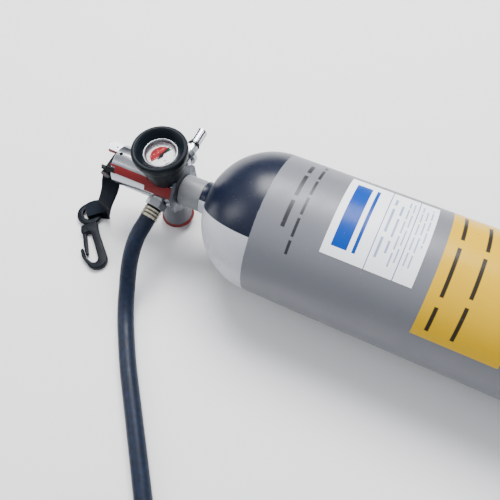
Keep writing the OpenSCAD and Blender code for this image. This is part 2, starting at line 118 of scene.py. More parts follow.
def smooth_rows(rows, step, closed=False):
    """Catmull-Rom curve through rows of (x, y, z and anything else), with a row about every step."""
    if closed:
        ends = [rows[-1]] + list(rows) + [rows[0], rows[1]]
    else:
        ends = [rows[0]] + list(rows) + [rows[-1]]
    out = []
    for i in range(1, len(ends) - 2):
        quad = ends[i - 1:i + 3]
        count = max(1, round(math.dist(quad[1][:3], quad[2][:3]) / step))
        for k in range(count):
            t = k / count
            out.append(tuple(0.5 * (2 * b + (c - a) * t + (2 * a - 5 * b + 4 * c - d) * t * t
                                    + (3 * b - a - 3 * c + d) * t ** 3) for a, b, c, d in zip(*quad)))
    return out if closed else out + [tuple(rows[-1])]


def smooth_points(points, step):
    return [Vector(row) for row in smooth_rows([tuple(p) for p in points], step)]


def frames_along(points):
    """The side and up directions at each point, carried along without twist."""
    out = []
    side = None
    for i in range(len(points)):
        tangent = (points[min(i + 1, len(points) - 1)] - points[max(i - 1, 0)]).normalized()
        if side is None:
            side = tangent.orthogonal().normalized()
        side = (side - tangent * side.dot(tangent)).normalized()
        out.append((side, tangent.cross(side)))
    return out


def tube_mesh(name, points, radius, sides):
    """Closed tube with UVs: u is the distance along it in metres, v the turn round it."""
    verts, faces, run = [], [], [0.0]
    for i, (side, up) in enumerate(frames_along(points)):
        if i:
            run.append(run[-1] + (points[i] - points[i - 1]).length)
        for k in range(sides):
            a = 2 * math.pi * k / sides
            verts.append(points[i] + radius * (math.cos(a) * side + math.sin(a) * up))
    for i in range(len(points) - 1):
        for k in range(sides):
            n = (k + 1) % sides
            faces.append((i * sides + k, (i + 1) * sides + k, (i + 1) * sides + n, i * sides + n))
    faces.append(tuple(range(sides)))
    faces.append(tuple(reversed(range((len(points) - 1) * sides, len(points) * sides))))
    mesh = bpy.data.meshes.new(name)
    mesh.from_pydata([tuple(v) for v in verts], [], faces)
    uv = mesh.uv_layers.new(name="along")
    for poly in mesh.polygons:
        corners = [mesh.loops[c].vertex_index for c in poly.loop_indices]
        wrap = max(c % sides for c in corners) - min(c % sides for c in corners) > sides / 2
        for loop, vert in zip(poly.loop_indices, corners):
            k = vert % sides
            turn = (sides if wrap and k == 0 else k) / sides
            uv.data[loop].uv = (run[vert // sides], turn)
    return mesh


def lathe_mesh(name, profile, steps, place):
    """Turns a closed outline of (radius, height) pairs round the +Z axis of place. Radius 0 makes a pole."""
    verts, faces, rings = [], [], []
    for r, z in profile:
        if r < 1e-6:
            rings.append([len(verts)])
            verts.append(place @ Vector((0, 0, z * MM)))
            continue
        rings.append(list(range(len(verts), len(verts) + steps)))
        for k in range(steps):
            a = 2 * math.pi * k / steps
            verts.append(place @ Vector((r * MM * math.cos(a), r * MM * math.sin(a), z * MM)))
    for low, high in zip(rings, rings[1:] + rings[:1]):
        for k in range(steps):
            n = (k + 1) % steps
            if len(low) == 1 and len(high) == 1:
                continue
            if len(low) == 1:
                faces.append((low[0], high[n], high[k]))
            elif len(high) == 1:
                faces.append((low[k], low[n], high[0]))
            else:
                faces.append((low[k], low[n], high[n], high[k]))
    return mesh_of(name, verts, faces)


def arc(cx, cy, rx, ry, a0, a1, count):
    """Points of an ellipse's arc, angles in degrees."""
    return [(cx + rx * math.cos(math.radians(a0 + (a1 - a0) * i / count)),
             cy + ry * math.sin(math.radians(a0 + (a1 - a0) * i / count))) for i in range(count + 1)]


def circle(cx, cy, r, count=48, start=0, end=360):
    return arc(cx, cy, r, r, start, end, count)[:-1]


GAUGE_AXIS = Matrix.Translation(at(0, 0, 0))
CYLINDER_AXIS = GAUGE_AXIS @ Vector((1, 0, 0)).to_track_quat("Z", "Y").to_matrix().to_4x4()

# ---------- the hose ----------
# The hose leaves along -Y, dipping below level and leaning away from the cylinder
OUTLET_DIP, OUTLET_LEAN = math.radians(15), math.radians(6)
OUTLET = Vector((-math.cos(OUTLET_DIP) * math.sin(OUTLET_LEAN),
                 -math.cos(OUTLET_DIP) * math.cos(OUTLET_LEAN),
                 -math.sin(OUTLET_DIP)))
# Distances along the outlet's axis where the tube begins and where its second point is
HOSE_START, HOSE_SECOND = 26.5, 31
HOSE_SIDES = 32
HOSE_STEP = 2.5
# From the outlet down to the floor, and over the floor to the stored turns
HOSE_ROUTE = [
    (-3.5, -33.6, -9.1), (-4.2, -40.3, -10.9), (-5, -47, -12.9), (-5.4, -53.3, -15.7),
    (-5.2, -59.5, -19.1), (-4.8, -65.5, -23.4), (-4.3, -71, -28.4), (-3.6, -76.3, -33.7),
    (-2.4, -81.8, -38.5),
    (-0.5, -87.5, -42.4), (1.5, -93.3, -45.5), (4, -99.3, -47.9), (7, -105.3, -49.6),
    (10.4, -111.2, -50.6), (14, -117, -51), (22, -128.8, -51), (30, -140.2, -51),
    (38, -151, -51), (46, -161.3, -51), (54, -171.5, -51), (66, -187, -51),
    (82, -207.6, -51), (98, -228.3, -51), (114, -248.9, -51), (130, -269.5, -51)]
# The stored turns: their centre and radius, then in degrees where they start, how far they go and in what
# steps, the part of the way where they climb by one hose, and how far along the tie is
COIL_AT = (82.0, -330.0)
COIL_R = 75.0
COIL_START = 37.7
COIL_SWEEP = 420
COIL_STEP = 10
RISE_FROM, RISE_TO = 265.0, 348.0
TIE_SWEEP = 30.0


def from_outlet(reach):
    """The point that is so many millimetres along the outlet from the valve's axis."""
    return at(0, 0, 0) + OUTLET * (reach * MM)


def coil_point(sweep):
    """The point of the stored turns that is so many degrees along them."""
    a = math.radians(COIL_START - sweep)
    t = min(1, max(0, (sweep - RISE_FROM) / (RISE_TO - RISE_FROM)))
    lift = t * t * (3 - 2 * t) * 2 * HOSE_R
    return at(COIL_AT[0] + COIL_R * math.cos(a), COIL_AT[1] + COIL_R * math.sin(a),
              FLOOR_Z + HOSE_R + lift)


def make_hose():
    """One tube from the outlet, over the floor and round the stored turns. Gives the piece and its line."""
    coil = [coil_point(sweep) for sweep in range(0, COIL_SWEEP + 1, COIL_STEP)]
    line = smooth_points([at(*p) for p in HOSE_ROUTE] + coil, HOSE_STEP * MM)
    line = [from_outlet(HOSE_START), from_outlet(HOSE_SECOND)] + line
    mesh = tube_mesh("hose", line, HOSE_R * MM, HOSE_SIDES)
    return link("breathing_hose", mesh, "air_set", ("hose", "hose_coil")), line


hose, hose_line = make_hose()


# ---------- materials ----------
MATERIALS = {}


class Shader:
    """A material with a Principled shader and short calls for the nodes that feed it."""

    def __init__(self, name, roughness=0.5, **values):
        self.mat = bpy.data.materials.new(name)
        self.mat.use_nodes = True
        self.nodes = self.mat.node_tree.nodes
        self.bsdf = self.nodes["Principled BSDF"]
        self.set(Roughness=roughness, **values)
        self.place = self.node("ShaderNodeTexCoord").outputs["Object"]
        self.along = self.node("ShaderNodeTexCoord").outputs["UV"]
        MATERIALS[name] = self.mat

    def node(self, kind, **settings):
        made = self.nodes.new(kind)
        for key, value in settings.items():
            setattr(made, key, value)
        return made

    def set(self, **values):
        for key, value in values.items():
            self.bsdf.inputs[key.replace("_", " ")].default_value = value

    def feed(self, socket, value):
        """Links value, or sets it if it is a plain number or colour."""
        if isinstance(value, bpy.types.NodeSocket):
            self.mat.node_tree.links.new(value, socket)
        else:
            socket.default_value = value

    def math(self, how, a, b=0.0):
        made = self.node("ShaderNodeMath", operation=how)
        self.feed(made.inputs[0], a)
        self.feed(made.inputs[1], b)
        return made.outputs[0]

    def product(self, a, b):
        """a times b, which is 1 only where both shares are 1."""
        return self.math("MULTIPLY", a, b)

    def any_of(self, shares):
        """The largest of the shares."""
        found = shares[0]
        for share in shares[1:]:
            found = self.math("MAXIMUM", found, share)
        return found

    def vector_math(self, how, a, b):
        made = self.node("ShaderNodeVectorMath", operation=how)
        self.feed(made.inputs[0], a)
        self.feed(made.inputs[1], b)
        return made.outputs["Value"]

    def noise(self, scale, detail=3.0, where=None):
        made = self.node("ShaderNodeTexNoise")
        self.feed(made.inputs["Vector"], where or self.place)
        made.inputs["Scale"].default_value = scale
        made.inputs["Detail"].default_value = detail
        return made.outputs["Fac"]

    def stretch(self, scale, where=None):
        made = self.node("ShaderNodeMapping")
        self.feed(made.inputs["Vector"], where or self.place)
        made.inputs["Scale"].default_value = scale
        return made.outputs[0]

    def between(self, value, low, high, out_low=0.0, out_high=1.0):
        made = self.node("ShaderNodeMapRange")
        for key, what in zip(("Value", "From Min", "From Max", "To Min", "To Max"),
                             (value, low, high, out_low, out_high)):
            self.feed(made.inputs[key], what)
        return made.outputs[0]

    def mix(self, share, a, b):
        made = self.node("ShaderNodeMix", data_type="RGBA")
        self.feed(made.inputs[0], share)
        self.feed(made.inputs[6], a)
        self.feed(made.inputs[7], b)
        return made.outputs[2]

    def step(self, value, edge, soft=0.0001):
        """0 below edge and 1 above it."""
        return self.between(value, edge - soft, edge + soft)

    def below(self, value, edge, soft=0.0001):
        """1 below edge and 0 above it."""
        return self.math("SUBTRACT", 1.0, self.step(value, edge, soft))

    def band(self, value, low, high, soft=0.0001):
        """1 between low and high."""
        return self.product(self.step(value, low, soft), self.below(value, high, soft))

    def specks(self, scale, detail, pull, edge, soft, share):
        """share on small scattered marks, and 0 between them. pull is the stretched place, or None."""
        return self.product(self.step(self.noise(scale, detail, pull), edge, soft), share)

    def bump(self, height, distance, strength=1.0):
        """Adds a bump, on top of any that is there."""
        made = self.node("ShaderNodeBump")
        made.inputs["Strength"].default_value = strength
        made.inputs["Distance"].default_value = distance
        self.feed(made.inputs["Height"], height)
        old = self.bsdf.inputs["Normal"]
        if old.is_linked:
            self.feed(made.inputs["Normal"], old.links[0].from_socket)
        self.feed(old, made.outputs[0])

    def paint_over(self, share, tone):
        """Gives the colour that is there another tone where share is 1."""
        under = self.bsdf.inputs["Base Color"].links[0].from_socket
        self.colour(self.mix(share, under, tone))

    def colour(self, value):
        self.feed(self.bsdf.inputs["Base Color"], value)

    def rough(self, value):
        self.feed(self.bsdf.inputs["Roughness"], value)

    def xyz(self):
        made = self.node("ShaderNodeSeparateXYZ")
        self.feed(made.inputs[0], self.place)
        return made.outputs


def linear(value):
    """A 0-255 display value in linear light."""
    if value > 10:
        return ((value / 255 + 0.055) / 1.055) ** 2.4
    return value / 255 / 12.92


def rgb(*display):
    """A linear colour from 0-255 display values."""
    return tuple(linear(value) for value in display) + (1.0,)


def shade(tone, factor, lift=0.0):
    """The tone times a factor, plus a lift."""
    return tuple(min(1, c * factor + lift) for c in tone[:3]) + (1.0,)


def paint(name, tone, roughness, grain=1400.0, depth=0.00003, wear=0.12):
    """Sprayed paint: orange peel, a slow change of tone, and small scuffs."""
    s = Shader(name, roughness)
    cloud = s.between(s.noise(18, 4), 0.3, 0.7)
    scuff = s.specks(260, 6, s.stretch((1, 3, 3)), 0.70, 0.05, wear)
    s.colour(s.mix(scuff, s.mix(cloud, shade(tone, 0.82), shade(tone, 1.12, 0.004)), shade(tone, 1.6, 0.06)))
    s.rough(s.between(s.noise(90, 5), 0.3, 0.7, roughness * 0.85, roughness * 1.2))
    s.bump(s.noise(grain, 2), depth)
    return s


def metal(name, tone, roughness, lines=(1, 1, 1), line_scale=900.0, depth=0.00001):
    """Plated or turned metal: fine tool lines, smudges and a slightly uneven tone."""
    s = Shader(name, roughness, Metallic=1.0)
    s.colour(s.mix(s.between(s.noise(55, 5), 0.35, 0.75), tone, shade(tone, 0.8)))
    s.rough(s.between(s.noise(120, 6), 0.3, 0.75, roughness * 0.7, roughness * 1.6))
    s.bump(s.noise(line_scale, 2, s.stretch(lines)), depth)
    return s


def moulded(name, tone, roughness, grain=2600.0, depth=0.00004):
    """Moulded rubber or plastic: fine grain and dusty patches."""
    s = Shader(name, roughness, Specular_IOR_Level=0.12)
    s.colour(s.mix(s.between(s.noise(70, 6), 0.45, 0.8), tone, shade(tone, 1.5, 0.001)))
    s.rough(s.between(s.noise(150, 4), 0.3, 0.7, roughness * 0.85, roughness * 1.25))
    s.bump(s.noise(grain, 3), depth)
    return s


# ---------- the cylinder and what is printed on it ----------
BLACK_PAINT = rgb(13, 20, 40)
WHITE_PAINT = rgb(184, 187, 195)
GREY_PAINT = rgb(108, 110, 117)
SHOULDER_END = (95.8 + VALVE_X) * MM
CYLINDER_MM_PER_DEG = math.pi * CYLINDER_R / 180
# The two white sectors of the shoulder, in degrees from +Y towards +Z. The second one goes on past 360.
WHITE_SECTORS = (132.8, 220), (312.8, 20)


def round_cylinder(s):
    """(x, angle in degrees from +Y towards +Z, 0 to 360) about the cylinder's axis, as sockets."""
    x, y, z = s.xyz()
    turn = s.math("DEGREES", s.math("ARCTAN2", z, y))
    return x, s.math("MODULO", s.math("ADD", turn, 360.0), 360.0)


def words(s, x, turn, row):
    """1 on a row of soft plain bars that stand for printed words. The row's first two values are its edges
    along the cylinder in metres, then come the bars' spacing and shift in millimetres and its two ends in
    degrees."""
    low, high, spacing, shift, first, last = row
    run = s.product(turn, CYLINDER_MM_PER_DEG)
    place = s.math("DIVIDE", s.math("ADD", run, shift), spacing)
    bars = s.product(s.band(s.math("FRACT", place), 0.0, 0.84, 0.01), s.band(x, low, high, 0.00025))
    return s.product(bars, s.band(turn, first, last, 0.1))


def block(s, x, turn, low, high):
    """1 on a wide bar across the white label."""
    return s.product(s.band(x, low, high), s.band(turn, 58, 116, 0.12))


def cylinder_paint():
    """Grey wall, black and white sectors on the shoulder, and two rows of plain bars."""
    s = Shader("cylinder_paint", 0.3, Specular_IOR_Level=0.35)
    x, turn = round_cylinder(s)
    wobble = s.between(s.noise(160, 2), 0.3, 0.7, -0.0002, 0.0002)
    shoulder = s.below(s.math("ADD", x, wobble), SHOULDER_END)
    (start, end), (again, round_to) = WHITE_SECTORS
    white = s.math("ADD", s.band(turn, start, end, 0.25),
                   s.math("ADD", s.step(turn, again, 0.25), s.below(turn, round_to, 0.25)))
    cloud = s.between(s.noise(9, 5), 0.35, 0.7)
    grey = s.mix(cloud, GREY_PAINT, shade(GREY_PAINT, 0.93))
    dome = s.mix(white, BLACK_PAINT, s.mix(cloud, WHITE_PAINT, shade(WHITE_PAINT, 0.93)))
    ink = s.any_of([words(s, x, turn, (-0.1068, -0.1037, 25, 3, 55, 119)),
                    words(s, x, turn, (-0.0972, -0.0950, 17, 11, 47, 134))])
    scuff = s.specks(340, 7, s.stretch((1, 4, 4)), 0.71, 0.04, 0.25)
    s.colour(s.mix(scuff, s.mix(shoulder, s.mix(ink, grey, rgb(38, 38, 44)), dome), rgb(176, 176, 180)))
    s.rough(s.mix(shoulder, s.between(s.noise(60, 5), 0.3, 0.7, 0.34, 0.46),
                  s.between(s.noise(60, 5), 0.3, 0.7, 0.26, 0.36)))
    s.bump(s.noise(900, 2), 0.00003, 0.6)
    s.bump(s.noise(35, 2), 0.0002, 0.25)


def label_film(name, ground, draw):
    """Glossy film label: draw gives its print."""
    s = Shader(name, 0.28, Specular_IOR_Level=0.15)
    x, turn = round_cylinder(s)
    base = s.mix(s.between(s.noise(14, 5), 0.35, 0.7), ground, shade(ground, 0.95))
    speck = s.specks(500, 5, None, 0.72, 0.03, 0.2)
    s.colour(s.mix(speck, draw(s, x, turn, base), rgb(150, 150, 155)))
    s.rough(s.between(s.noise(80, 5), 0.3, 0.7, 0.24, 0.36))
    s.bump(s.noise(45, 3), 0.00015, 0.3)


def print_white(s, x, turn, base):
    """A thick and a thin blue bar, two thin blue rules and rows of small pale bars."""
    rows = [(-0.0395, -0.0377, 26, 5, 60, 113), (-0.0340, -0.0324, 19, 14, 66, 108),
            (-0.0292, -0.0281, 13, 23, 57, 116), (-0.0260, -0.0250, 15, 32, 57, 112),
            (-0.0196, -0.0186, 12, 41, 57, 114), (-0.0162, -0.0152, 14, 50, 62, 112),
            (-0.0128, -0.0118, 11, 59, 57, 96)]
    small = s.any_of([words(s, x, turn, row) for row in rows])
    inked = s.mix(s.product(small, 0.75), base, rgb(60, 100, 165))
    blue = s.any_of([block(s, x, turn, -0.0690, -0.0575), block(s, x, turn, -0.0540, -0.0515),
                     s.band(x, -0.0430, -0.0424), s.band(x, -0.0226, -0.0220)])
    return s.mix(blue, inked, rgb(4, 62, 150))


def print_yellow(s, x, turn, base):
    """Two rows of dark bars."""
    ink = s.any_of([words(s, x, turn, (0.0096, 0.0124, 44, 2, 47, 147)),
                    words(s, x, turn, (0.0270, 0.0298, 36, 21, 47, 147))])
    return s.mix(ink, base, rgb(45, 40, 34))


# ---------- the other materials ----------
PIN_X, PIN_Z = -53.0, 3.5
RED = rgb(108, 18, 22)


def hose_rubber():
    """Black rubber with the faint cloth imprint of a wrapped hose."""
    s = Shader("hose_rubber", 0.4, Specular_IOR_Level=0.25)
    weave = s.node("ShaderNodeTexBrick")
    s.feed(weave.inputs["Vector"], s.stretch((520, 22, 1), s.along))
    for key, value in (("Scale", 1.0), ("Mortar Size", 0.12), ("Brick Width", 1.0), ("Row Height", 0.5)):
        weave.inputs[key].default_value = value
    dust = s.between(s.noise(220, 5), 0.4, 0.75)
    s.colour(s.mix(dust, rgb(10, 20, 38), rgb(16, 30, 55)))
    s.rough(s.between(s.noise(300, 4), 0.3, 0.7, 0.33, 0.5))
    s.bump(weave.outputs["Fac"], 0.0001, 0.5)
    s.bump(s.noise(1500, 3), 0.00006, 0.6)


def threads(s, direction, scale):
    """Waves that stand for the threads of one direction, U or V of the webbing."""
    wave = s.node("ShaderNodeTexWave", wave_profile="SIN", bands_direction=direction)
    s.feed(wave.inputs["Vector"], s.along)
    wave.inputs["Scale"].default_value = scale
    return wave.outputs["Fac"]


def webbing():
    """Flat woven webbing. The UVs are millimetres along and across it."""
    s = Shader("webbing", 0.8, Specular_IOR_Level=0.15, Sheen_Weight=0.05, Sheen_Roughness=0.4)
    knot = s.product(threads(s, "Y", 0.32), threads(s, "X", 0.42))
    fuzz = s.noise(900, 4)
    s.colour(s.mix(s.product(knot, s.between(fuzz, 0.3, 0.7)), rgb(10, 17, 27), rgb(22, 34, 48)))
    s.bump(knot, 0.0003, 0.7)
    s.bump(fuzz, 0.0001, 0.5)


def red_arm():
    """Red paint, and a copy of it whose low end beyond the barrel is black."""
    paint("red_paint", RED, 0.5, grain=1100, depth=0.00006, wear=0.06)
    s = paint("red_black_end", RED, 0.5, grain=1100, depth=0.00006, wear=0.06)
    s.set(Specular_IOR_Level=0.25)
    x, _, z = s.xyz()
    # Black over the arm's low end beyond the barrel, round the pin.
    black_end = s.product(s.math("LESS_THAN", x, (VALVE_X - 43.2) * MM), s.math("LESS_THAN", z, 13.6 * MM))
    s.paint_over(black_end, rgb(5, 8, 14))


def pin_head():
    """Black paint with a small red dot on the pin's axis."""
    s = paint("pin_black", rgb(6, 9, 15), 0.4, wear=0.02)
    s.set(Specular_IOR_Level=0.2)
    x, _, z = s.xyz()
    flat = s.node("ShaderNodeCombineXYZ")
    s.feed(flat.inputs[0], x)
    s.feed(flat.inputs[2], z)
    away = s.vector_math("DISTANCE", flat.outputs[0], at(PIN_X, 0, PIN_Z))
    s.paint_over(s.math("LESS_THAN", away, 0.9 * MM), rgb(110, 16, 24))


def crimped_steel():
    """Pale metal with painted shade in the groove after each crimp along the hose."""
    s = metal("crimped_steel", rgb(196, 190, 170), 0.2, (1, 1, 1), 500)
    reach = s.vector_math("DOT_PRODUCT", s.place, OUTLET)
    crimp = s.math("DIVIDE", s.math("SUBTRACT", reach, from_outlet(HOSE_START).dot(OUTLET)), 3 * MM)
    # Painted shade: a dark band over the last part of every 3 mm along the outlet, where each crimp's groove
    # lies.
    s.paint_over(s.math("GREATER_THAN", s.math("FRACT", crimp), 0.72), rgb(40, 42, 48))


def window():
    """Nearly clear window with a faint haze."""
    s = Shader("window", 0.03, Alpha=0.05, IOR=1.45, Specular_IOR_Level=0.2)
    s.colour(s.mix(s.between(s.noise(60, 4), 0.45, 0.8), rgb(20, 22, 24), rgb(40, 42, 46)))


def print_ink(name, tone):
    """Matt print on the gauge's face."""
    paint(name, tone, 0.5, wear=0.0).set(Specular_IOR_Level=0.1)


def make_materials():
    cylinder_paint()
    label_film("label_white", rgb(248, 250, 254), print_white)
    label_film("label_yellow", rgb(212, 168, 22), print_yellow)
    hose_rubber()
    webbing()
    red_arm()
    pin_head()
    crimped_steel()
    window()
    paint("ring_paint", rgb(118, 120, 124), 0.42)
    paint("wheel_paint", rgb(84, 86, 94), 0.42)
    paint("case_metal", rgb(58, 60, 64), 0.4)
    paint("seat_plastic", rgb(235, 232, 222), 0.5, wear=0.0)
    paint("pointer_black", rgb(10, 10, 12), 0.5).set(Specular_IOR_Level=0.1)
    print_ink("dial_white", rgb(238, 238, 240))
    print_ink("dial_red", rgb(150, 16, 28))
    print_ink("dial_green", rgb(26, 84, 56))
    print_ink("dial_ink", rgb(14, 14, 18))
    metal("flange_metal", rgb(96, 99, 108), 0.42, (1, 6, 6))
    metal("nickel_bright", rgb(166, 169, 175), 0.16, (14, 1, 1), 700)
    metal("nickel_satin", rgb(156, 158, 164), 0.3, (1, 10, 1), 700)
    metal("brass_part", rgb(208, 176, 104), 0.3)
    metal("copper_washer", rgb(196, 124, 88), 0.35)
    metal("spring_steel", rgb(176, 178, 184), 0.3)
    metal("steel_tongue", rgb(206, 207, 214), 0.3, (1, 12, 1))
    moulded("rubber_black", rgb(6, 14, 21), 0.4)
    moulded("seal_rubber", rgb(12, 13, 15), 0.45)
    moulded("hook_plastic", rgb(6, 12, 21), 0.38)


def dress(obj, material):
    """Gives the piece one material, by its name."""
    obj.data.materials.clear()
    obj.data.materials.append(MATERIALS[material])


# Nodes whose look is finer than their material slot says
OWN_LOOK = {"release_front_arm": "red_black_end", "hose_insert": "pin_black", "hose_ferrule": "crimped_steel",
            "end_ferrule": "nickel_satin"}


def dress_nodes():
    """Gives every CAD node its material and smooth shading."""
    slot_of = {part["node"]: part["material_slot"] for part in frame["record"]["subparts"]}
    for name, obj in frame["nodes"].items():
        dress(obj, OWN_LOOK.get(name, slot_of[name]))
        smooth(obj.data, 28)


make_materials()
dress_nodes()
dress(hose, "hose_rubber")


# ---------- plates and turned pieces ----------
def mesh_from_curve(name, data):
    """The mesh that Blender makes of a curve or a text."""
    shape = bpy.data.objects.new(name, data)
    bpy.context.scene.collection.objects.link(shape)
    bpy.context.view_layer.update()
    mesh = bpy.data.meshes.new_from_object(shape.evaluated_get(bpy.context.evaluated_depsgraph_get()))
    bpy.data.objects.remove(shape)
    return mesh


def weld(mesh):
    """Joins the vertices that lie on each other."""
    joined = bmesh.new()
    joined.from_mesh(mesh)
    bmesh.ops.remove_doubles(joined, verts=joined.verts, dist=0.002 * MM)
    joined.to_mesh(mesh)
    joined.free()


def plate(name, loops, z0, z1, edge, place, body, slot, replaced=()):
    """A flat piece cut to closed outlines (the later ones are holes), in millimetres, with rounded edges."""
    data = bpy.data.curves.new(name, "CURVE")
    data.dimensions = "2D"
    data.fill_mode = "BOTH"
    data.extrude = (z1 - z0) / 2 - edge
    data.bevel_depth = edge
    data.bevel_resolution = 3
    data.offset = -edge
    for loop in loops:
        spline = data.splines.new("POLY")
        spline.points.add(len(loop) - 1)
        for point, (x, y) in zip(spline.points, loop):
            point.co = (x, y, 0, 1)
        spline.use_cyclic_u = True
    mesh = mesh_from_curve(name, data)
    mesh.transform(place @ Matrix.Scale(MM, 4) @ Matrix.Translation((0, 0, (z0 + z1) / 2)))
    weld(mesh)
    point_outwards(mesh)
    obj = link(name, mesh, body, replaced, smooth_deg=40)
    dress(obj, slot)
    return obj


def turned_piece(name, profile, axis, slot, replaced, steps=128):
    """A piece of the air set, turned from its closed outline."""
    dress(link(name, lathe_mesh(name, profile, steps, axis), "air_set", replaced), slot)


def rounded(loop, radius, steps):
    """The closed outline with its corners rounded."""
    out = []
    for i, p in enumerate(loop):
        a, b, c = Vector(loop[i - 1]), Vector(p), Vector(loop[(i + 1) % len(loop)])
        r = min(radius, (a - b).length * 0.45, (c - b).length * 0.45)
        start, end = b + (a - b).normalized() * r, b + (c - b).normalized() * r
        for k in range(steps + 1):
            t = k / steps
            out.append(tuple(start * (1 - t) ** 2 + b * 2 * t * (1 - t) + end * t * t))
    return out


# ---------- the cylinder and the gauge's bezel ----------
# Distances along the cylinder from the valve's axis, and its wall's thickness
SHOULDER_AT, SHOULDER_RISE = 96, 57
FOOT_AT = 346
WALL = 3.2


def dished(radii, rim_r, rim_at):
    """(radius, distance) pairs over a base that is sunk by 18 mm at its middle."""
    return [(r, rim_at - 18 * (1 - (r / rim_r) ** 2)) for r in radii]


def make_cylinder():
    """Hollow steel cylinder: neck, round shoulder, straight wall, foot ring and dished base."""
    neck = [(11.6, 35), (13.6, 35), (14, 35.4), (14, 39.4), (14.4, 40.2)]
    shoulder = arc(0, SHOULDER_AT, CYLINDER_R, SHOULDER_RISE, -75, 0, 40)
    wall = [(CYLINDER_R, x) for x in range(120, 341, 20)]
    foot = arc(38, FOOT_AT, 20, 49, 0, 90, 24)
    base = dished((34, 31, 28, 24, 20, 15, 10, 5, 0), 34, 395)
    inner_base = dished((0, 5, 10, 15, 20, 25, 30, 32), 33, 390)
    inner_foot = arc(33, FOOT_AT, 21.8, 44, 0, 90, 16)[::-1]
    inner_shoulder = arc(0, SHOULDER_AT, CYLINDER_R - WALL, SHOULDER_RISE - WALL, -80, 0, 24)[::-1]
    neck_bore = [(9.1, 43), (9.1, 37.3), (11.6, 37.3)]
    outside = neck + shoulder + wall + foot + base
    inside = inner_base + inner_foot + inner_shoulder + neck_bore
    turned_piece("air_cylinder", outside + inside, CYLINDER_AXIS, "cylinder_paint", ("cylinder_shell",), 192)


def make_bezel():
    """Bright ring with a rolled lip and a cone that leads down to the window."""
    ring = [(11.5, 40.4), (16.4, 40.4), (16.4, 42.5), (13.85, 42.5), (13.65, 42.8), (13.4, 42.97),
            (13.1, 42.97), (12.8, 42.8), (12.5, 42.4), (11.6, 41.1), (11.5, 40.9)]
    turned_piece("bezel", ring, GAUGE_AXIS, "nickel_satin", ("gauge_bezel",))


make_cylinder()
make_bezel()

# ---------- the tie ----------
TIE_HALF_WIDTH = 7
TIE_INSIDE, TIE_OUTSIDE = HOSE_R + 0.1, HOSE_R + 0.95
# The band's two round ends stand a little nearer than the two turns, so that it stops at the floor
TIE_DROP = 2 * HOSE_R - 0.9


def oblong(r):
    return circle(0, 0, r, 24, 0, 180) + [(-r, 0)] + circle(0, -TIE_DROP, r, 24, 180, 360) + [(r, -TIE_DROP)]


def make_tie():
    """Woven band round the two turns of the stored hose, where one lies on the other."""
    a = math.radians(COIL_START - TIE_SWEEP)
    out, up = Vector((math.cos(a), math.sin(a), 0)), Vector((0, 0, 1))
    upper_turn = coil_point(TIE_SWEEP + 360)
    place = Matrix.Translation(upper_turn) @ Matrix((out, up, out.cross(up))).transposed().to_4x4()
    return plate("hose_tie", [oblong(TIE_OUTSIDE), oblong(TIE_INSIDE)], -TIE_HALF_WIDTH, TIE_HALF_WIDTH,
                 0.25, place, "air_set", "webbing")


hose_tie = make_tie()

# ---------- the hook ----------
HOOK_AT = (-73.9, -41.7)
HOOK_TURN = math.radians(-42.8)
HOOK_PLACE = Matrix.Translation(at(*HOOK_AT, 0)) @ Matrix.Rotation(HOOK_TURN, 4, "Z")


def make_hook():
    """Snap hook: a round eye, a long leg, a wide toe and a nose that the gate springs against."""
    eye = circle(-8.5, 3, 11.9, 64)
    hole = circle(-8.5, 3, 6.1, 48)
    plate("snap_hook_eye", [eye, hole], FLOOR_Z + 1.7, FLOOR_Z + 5.4, 1.3, HOOK_PLACE, "hook",
          "hook_plastic", ("snap_hook",))
    leg = [(1.6, 6.6), (6, 6.9), (12, 6.1), (26, 6.3), (38, 6.7)]
    toe = circle(41, -2.8, 9.5, 22, 96, -84)
    nose = [(38, -13.6), (35, -14.7), (30.5, -14.9), (27, -14.5), (25.5, -13.6), (25.4, -11.8), (30, -12.0),
            (35.6, -11.9), (38.9, -9.9), (42.5, -7.8), (43.9, -5), (42.8, -2.5), (40.4, -1.3)]
    leg_inside = [(26, -0.9), (12.3, -1.0), (10.6, -2.8), (10.9, -4.9), (11.35, -6.6), (10.7, -8.4),
                  (9.2, -9.35), (8.2, -9.45), (6, -9.2), (1.8, -8.0)]
    plate("snap_hook_body", [rounded(leg + toe + nose + leg_inside, 0.8, 2)], FLOOR_Z, FLOOR_Z + 5.4, 1.0,
          HOOK_PLACE, "hook", "hook_plastic")
    blade = [(11.0, -5.4), (14, -5.4), (24, -7.1), (33, -8.6), (33.4, -11.0), (25, -10.9),
             (14, -9.3), (11.0, -8.6), (9.6, -7.6), (9.6, -6.2)]
    plate("snap_hook_gate", [rounded(blade, 0.9, 3)], FLOOR_Z + 0.8, FLOOR_Z + 4.6, 0.7, HOOK_PLACE, "gate",
          "hook_plastic", ("hook_gate",))


make_hook()

# ---------- the webbing ----------
PLY = 1.15
PLY_OFFSET = PLY * 0.53
STRAP_WIDTH = 16
# The webbing's loop on the pin: its radius, its place along the pin, and its turns in degrees
PIN_LOOP_R, PIN_LOOP_Y = 3.35, -4.4
PIN_LOOP_TURNS = range(190, -151, -20)
# Stations of the webbing from the pin down: its middle, the direction of its width in degrees, its width
STRAP_DOWN = [(-56.8, -4.5, 1, 90, 16), (-56.4, -9, -8, 58, 16), (-54.9, -15.4, -17, 22, 16),
              (-57, -21, -26, -6, 16), (-59.8, -25.6, -34.5, -14, 16)]
